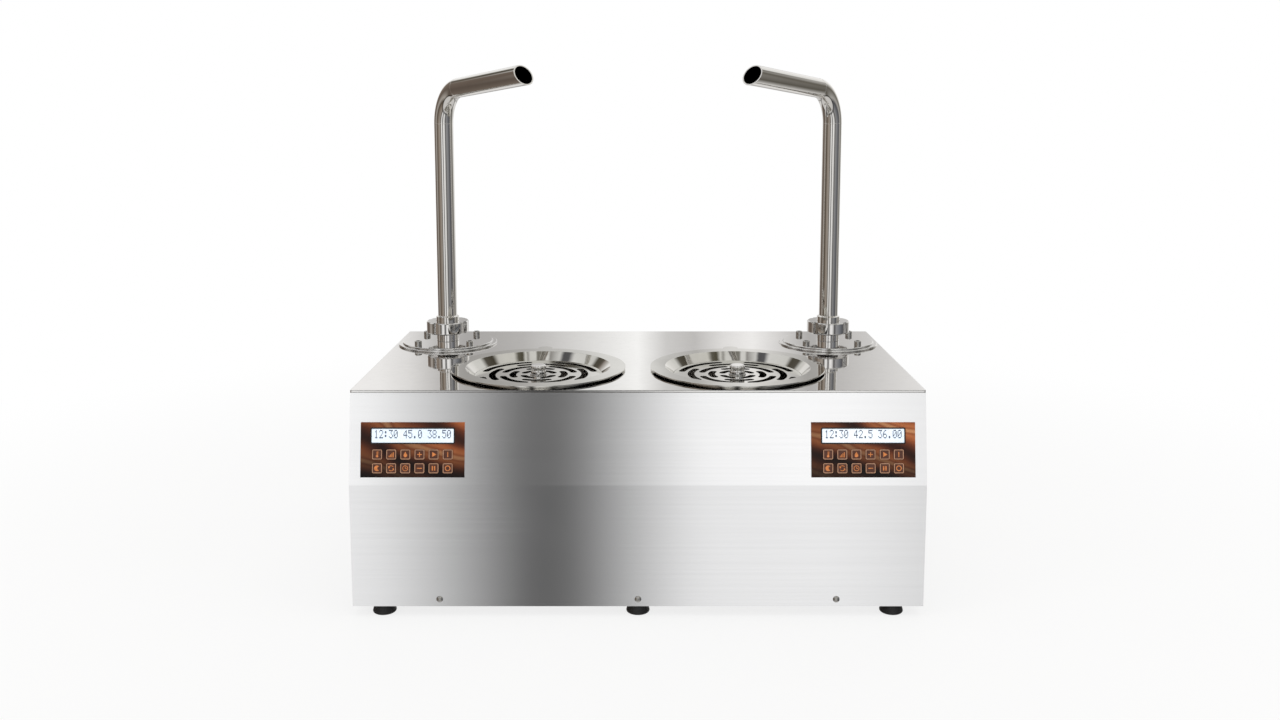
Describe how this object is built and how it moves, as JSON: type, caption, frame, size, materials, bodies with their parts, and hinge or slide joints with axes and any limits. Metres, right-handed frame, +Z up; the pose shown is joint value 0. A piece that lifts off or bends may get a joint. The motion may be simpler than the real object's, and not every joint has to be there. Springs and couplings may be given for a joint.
{
  "type": "hot chocolate dispenser",
  "caption": "Counter-top steel hot chocolate dispenser: heated tanks, auger pumps, swivel spouts over lift-out drain trays, and key panels on a leaning front.",
  "frame": {"origin": "on the table under the middle of the casing", "axes": "+X to the right seen from the front, +Y to the back, +Z up; the front faces -Y"},
  "size_m": [0.7, 0.405, 0.6735],
  "materials": {
    "polished_steel": "mirror-polished stainless steel",
    "tray_steel": "polished stainless steel",
    "grille_steel": "polished stainless steel",
    "pipe_steel": "polished stainless steel tube",
    "brushed_steel": "satin stainless steel sheet",
    "pan_steel": "plain stainless steel sheet",
    "tank_steel": "plain stainless steel",
    "auger_steel": "turned stainless steel",
    "screw_steel": "stainless steel",
    "foot_rubber": "matt black",
    "seal_rubber": "white food-grade silicone",
    "heater_rubber": "brick-red silicone mat",
    "inlet_plastic": "black",
    "rocker_plastic": "black",
    "supply_metal": "folded aluminium case",
    "drive_metal": "grey cast housing",
    "overlay_print": "brown printed film",
    "key_print": "red-brown with pale outline",
    "display_face": "pale blue-white lit face"
  },
  "bodies": {
    "casing": {"top_plate": "polished_steel", "front_panel": "brushed_steel", "rear_casing": "brushed_steel", "base_pan": "pan_steel", "feet": "foot_rubber", "casing_screws": "screw_steel", "pump_screws": "screw_steel", "power_inlet": "inlet_plastic", "power_supply": "supply_metal", "tank_left": "tank_steel", "heater_left": "heater_rubber", "pump_flange_left": "polished_steel", "gasket_left": "seal_rubber", "gearmotor_left": "drive_metal", "overlay_left": "overlay_print", "display_left": "display_face", "tank_right": "tank_steel", "heater_right": "heater_rubber", "pump_flange_right": "polished_steel", "gasket_right": "seal_rubber", "gearmotor_right": "drive_metal", "overlay_right": "overlay_print", "display_right": "display_face"},
    "rocker": {"power_switch": "rocker_plastic"},
    "tray_left": {"tray_left": "tray_steel"},
    "grille_left": {"grille_left": "grille_steel", "knob_left": "polished_steel"},
    "nut_left": {"union_nut_left": "polished_steel"},
    "spout_left": {"spout_left": "pipe_steel"},
    "auger_left": {"auger_left": "auger_steel"},
    "key_left_1": {"key_left_1": "key_print"},
    "key_left_2": {"key_left_2": "key_print"},
    "key_left_3": {"key_left_3": "key_print"},
    "key_left_4": {"key_left_4": "key_print"},
    "key_left_5": {"key_left_5": "key_print"},
    "key_left_6": {"key_left_6": "key_print"},
    "key_left_7": {"key_left_7": "key_print"},
    "key_left_8": {"key_left_8": "key_print"},
    "key_left_9": {"key_left_9": "key_print"},
    "key_left_10": {"key_left_10": "key_print"},
    "key_left_11": {"key_left_11": "key_print"},
    "key_left_12": {"key_left_12": "key_print"},
    "tray_right": {"tray_right": "tray_steel"},
    "grille_right": {"grille_right": "grille_steel", "knob_right": "polished_steel"},
    "nut_right": {"union_nut_right": "polished_steel"},
    "spout_right": {"spout_right": "pipe_steel"},
    "auger_right": {"auger_right": "auger_steel"},
    "key_right_1": {"key_right_1": "key_print"},
    "key_right_2": {"key_right_2": "key_print"},
    "key_right_3": {"key_right_3": "key_print"},
    "key_right_4": {"key_right_4": "key_print"},
    "key_right_5": {"key_right_5": "key_print"},
    "key_right_6": {"key_right_6": "key_print"},
    "key_right_7": {"key_right_7": "key_print"},
    "key_right_8": {"key_right_8": "key_print"},
    "key_right_9": {"key_right_9": "key_print"},
    "key_right_10": {"key_right_10": "key_print"},
    "key_right_11": {"key_right_11": "key_print"},
    "key_right_12": {"key_right_12": "key_print"}
  },
  "joints": [
    {"name": "rocker_tilt", "type": "hinge", "parent": "casing", "child": "rocker", "pos_m": [-0.25, 0.193, 0.088], "axis": [1, 0, 0], "range_deg": [0, 20]},
    {"name": "tray_lift_left", "type": "slide", "parent": "casing", "child": "tray_left", "axis": [0, 0, 1], "range_m": [0, 0.12]},
    {"name": "grille_lift_left", "type": "slide", "parent": "tray_left", "child": "grille_left", "axis": [0, 0, 1], "range_m": [0, 0.06]},
    {"name": "nut_turn_left", "type": "hinge", "parent": "casing", "child": "nut_left", "pos_m": [-0.277, 0.111, 0.279], "axis": [0, 0, 1], "continuous": true},
    {"name": "spout_swivel_left", "type": "hinge", "parent": "casing", "child": "spout_left", "pos_m": [-0.277, 0.111, 0.279], "axis": [0, 0, 1], "continuous": true},
    {"name": "auger_turn_left", "type": "hinge", "parent": "casing", "child": "auger_left", "pos_m": [-0.277, 0.111, 0.279], "axis": [0, 0, 1], "continuous": true},
    {"name": "key_press_left_1", "type": "slide", "parent": "casing", "child": "key_left_1", "axis": [0, 0.9847, -0.1743], "range_m": [0, 0.0005], "stiffness_N_per_m": 500, "springref_m": -0.0006},
    {"name": "key_press_left_2", "type": "slide", "parent": "casing", "child": "key_left_2", "axis": [0, 0.9847, -0.1743], "range_m": [0, 0.0005], "stiffness_N_per_m": 500, "springref_m": -0.0006},
    {"name": "key_press_left_3", "type": "slide", "parent": "casing", "child": "key_left_3", "axis": [0, 0.9847, -0.1743], "range_m": [0, 0.0005], "stiffness_N_per_m": 500, "springref_m": -0.0006},
    {"name": "key_press_left_4", "type": "slide", "parent": "casing", "child": "key_left_4", "axis": [0, 0.9847, -0.1743], "range_m": [0, 0.0005], "stiffness_N_per_m": 500, "springref_m": -0.0006},
    {"name": "key_press_left_5", "type": "slide", "parent": "casing", "child": "key_left_5", "axis": [0, 0.9847, -0.1743], "range_m": [0, 0.0005], "stiffness_N_per_m": 500, "springref_m": -0.0006},
    {"name": "key_press_left_6", "type": "slide", "parent": "casing", "child": "key_left_6", "axis": [0, 0.9847, -0.1743], "range_m": [0, 0.0005], "stiffness_N_per_m": 500, "springref_m": -0.0006},
    {"name": "key_press_left_7", "type": "slide", "parent": "casing", "child": "key_left_7", "axis": [0, 0.9847, -0.1743], "range_m": [0, 0.0005], "stiffness_N_per_m": 500, "springref_m": -0.0006},
    {"name": "key_press_left_8", "type": "slide", "parent": "casing", "child": "key_left_8", "axis": [0, 0.9847, -0.1743], "range_m": [0, 0.0005], "stiffness_N_per_m": 500, "springref_m": -0.0006},
    {"name": "key_press_left_9", "type": "slide", "parent": "casing", "child": "key_left_9", "axis": [0, 0.9847, -0.1743], "range_m": [0, 0.0005], "stiffness_N_per_m": 500, "springref_m": -0.0006},
    {"name": "key_press_left_10", "type": "slide", "parent": "casing", "child": "key_left_10", "axis": [0, 0.9847, -0.1743], "range_m": [0, 0.0005], "stiffness_N_per_m": 500, "springref_m": -0.0006},
    {"name": "key_press_left_11", "type": "slide", "parent": "casing", "child": "key_left_11", "axis": [0, 0.9847, -0.1743], "range_m": [0, 0.0005], "stiffness_N_per_m": 500, "springref_m": -0.0006},
    {"name": "key_press_left_12", "type": "slide", "parent": "casing", "child": "key_left_12", "axis": [0, 0.9847, -0.1743], "range_m": [0, 0.0005], "stiffness_N_per_m": 500, "springref_m": -0.0006},
    {"name": "tray_lift_right", "type": "slide", "parent": "casing", "child": "tray_right", "axis": [0, 0, 1], "range_m": [0, 0.12]},
    {"name": "grille_lift_right", "type": "slide", "parent": "tray_right", "child": "grille_right", "axis": [0, 0, 1], "range_m": [0, 0.06]},
    {"name": "nut_turn_right", "type": "hinge", "parent": "casing", "child": "nut_right", "pos_m": [0.277, 0.111, 0.279], "axis": [0, 0, 1], "continuous": true},
    {"name": "spout_swivel_right", "type": "hinge", "parent": "casing", "child": "spout_right", "pos_m": [0.277, 0.111, 0.279], "axis": [0, 0, 1], "continuous": true},
    {"name": "auger_turn_right", "type": "hinge", "parent": "casing", "child": "auger_right", "pos_m": [0.277, 0.111, 0.279], "axis": [0, 0, 1], "continuous": true},
    {"name": "key_press_right_1", "type": "slide", "parent": "casing", "child": "key_right_1", "axis": [0, 0.9847, -0.1743], "range_m": [0, 0.0005], "stiffness_N_per_m": 500, "springref_m": -0.0006},
    {"name": "key_press_right_2", "type": "slide", "parent": "casing", "child": "key_right_2", "axis": [0, 0.9847, -0.1743], "range_m": [0, 0.0005], "stiffness_N_per_m": 500, "springref_m": -0.0006},
    {"name": "key_press_right_3", "type": "slide", "parent": "casing", "child": "key_right_3", "axis": [0, 0.9847, -0.1743], "range_m": [0, 0.0005], "stiffness_N_per_m": 500, "springref_m": -0.0006},
    {"name": "key_press_right_4", "type": "slide", "parent": "casing", "child": "key_right_4", "axis": [0, 0.9847, -0.1743], "range_m": [0, 0.0005], "stiffness_N_per_m": 500, "springref_m": -0.0006},
    {"name": "key_press_right_5", "type": "slide", "parent": "casing", "child": "key_right_5", "axis": [0, 0.9847, -0.1743], "range_m": [0, 0.0005], "stiffness_N_per_m": 500, "springref_m": -0.0006},
    {"name": "key_press_right_6", "type": "slide", "parent": "casing", "child": "key_right_6", "axis": [0, 0.9847, -0.1743], "range_m": [0, 0.0005], "stiffness_N_per_m": 500, "springref_m": -0.0006},
    {"name": "key_press_right_7", "type": "slide", "parent": "casing", "child": "key_right_7", "axis": [0, 0.9847, -0.1743], "range_m": [0, 0.0005], "stiffness_N_per_m": 500, "springref_m": -0.0006},
    {"name": "key_press_right_8", "type": "slide", "parent": "casing", "child": "key_right_8", "axis": [0, 0.9847, -0.1743], "range_m": [0, 0.0005], "stiffness_N_per_m": 500, "springref_m": -0.0006},
    {"name": "key_press_right_9", "type": "slide", "parent": "casing", "child": "key_right_9", "axis": [0, 0.9847, -0.1743], "range_m": [0, 0.0005], "stiffness_N_per_m": 500, "springref_m": -0.0006},
    {"name": "key_press_right_10", "type": "slide", "parent": "casing", "child": "key_right_10", "axis": [0, 0.9847, -0.1743], "range_m": [0, 0.0005], "stiffness_N_per_m": 500, "springref_m": -0.0006},
    {"name": "key_press_right_11", "type": "slide", "parent": "casing", "child": "key_right_11", "axis": [0, 0.9847, -0.1743], "range_m": [0, 0.0005], "stiffness_N_per_m": 500, "springref_m": -0.0006},
    {"name": "key_press_right_12", "type": "slide", "parent": "casing", "child": "key_right_12", "axis": [0, 0.9847, -0.1743], "range_m": [0, 0.0005], "stiffness_N_per_m": 500, "springref_m": -0.0006}
  ]
}
